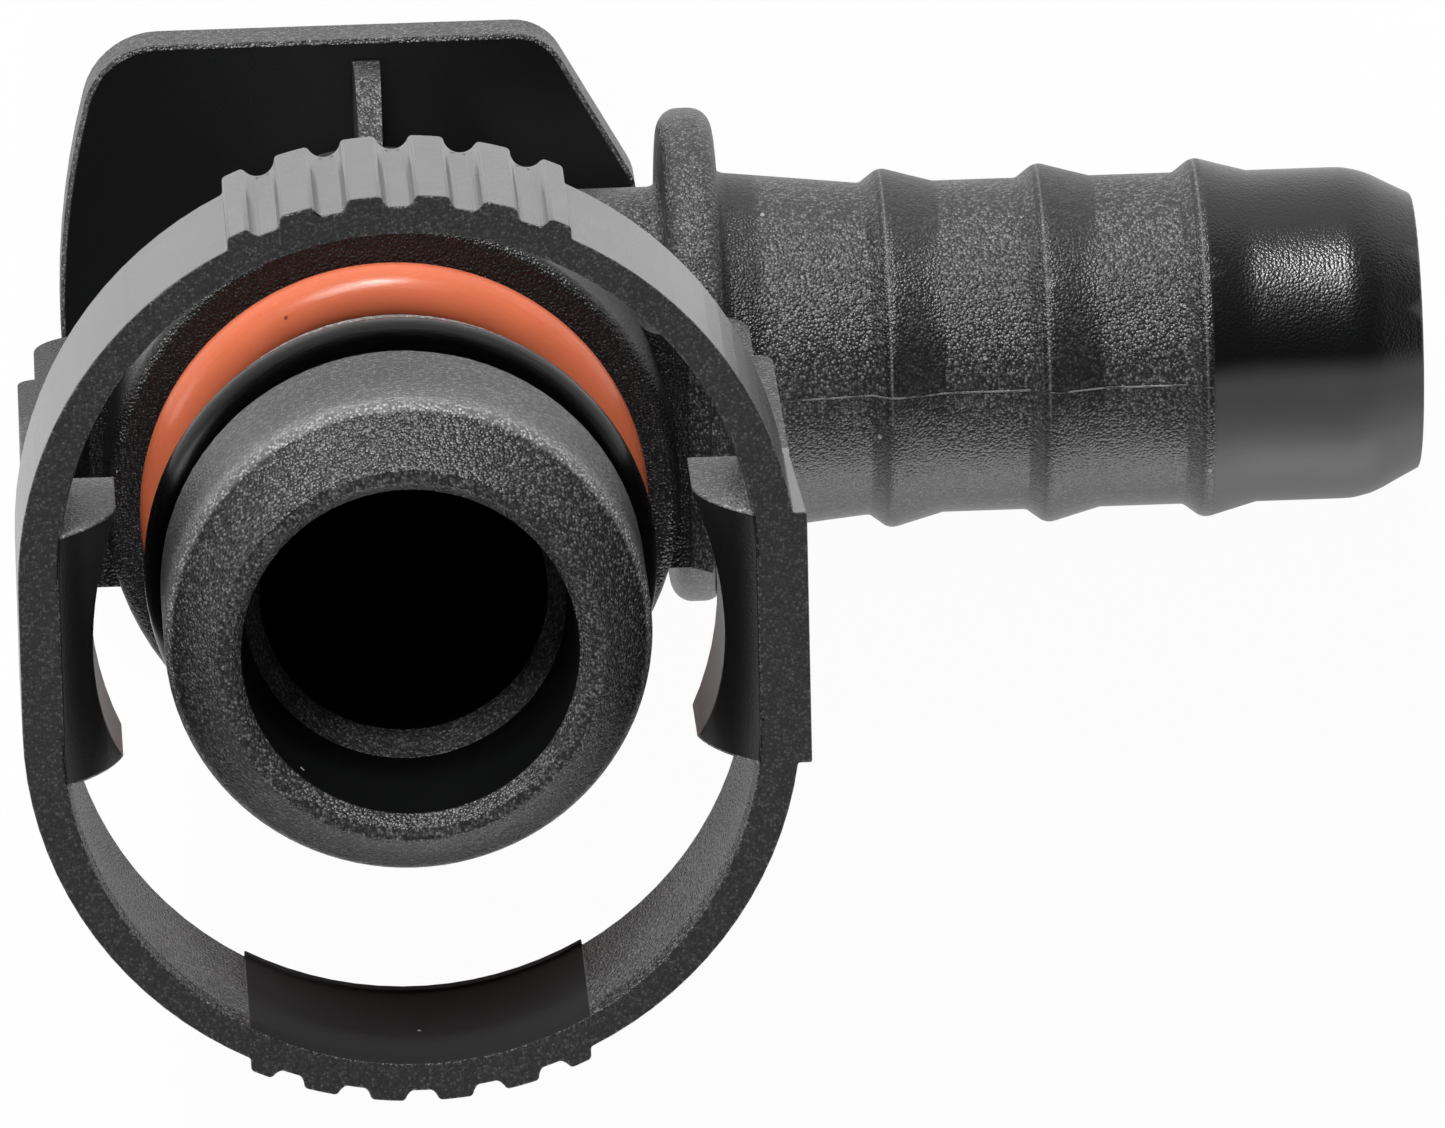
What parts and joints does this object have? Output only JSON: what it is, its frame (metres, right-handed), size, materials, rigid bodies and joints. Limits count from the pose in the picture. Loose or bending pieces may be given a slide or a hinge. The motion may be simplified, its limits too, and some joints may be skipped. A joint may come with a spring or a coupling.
{
  "type": "barbed elbow hose connector",
  "caption": "Elbow connector with a barbed hose stem, a sealed spigot inside an oval squeeze-to-release latch ring, and a thumb pad.",
  "frame": {"origin": "on the spigot's axis, in the plane of the thumb pad's back, on which the connector rests", "axes": "+Z along the spigot's axis towards its mouth, +X along the hose stem towards its end, +Y across the finger grips"},
  "size_m": [0.068, 0.0436, 0.0596],
  "materials": {
    "black_nylon": "moulded glass-filled nylon, finely textured, smooth on the ring's rim and the stem's tip",
    "black_rubber": "smooth black rubber, lightly oiled",
    "orange_rubber": "smooth orange rubber, lightly oiled"
  },
  "bodies": {
    "root": {"connector_body": "black_nylon", "front_o_ring": "black_rubber", "rear_o_ring": "orange_rubber"}
  },
  "joints": []
}
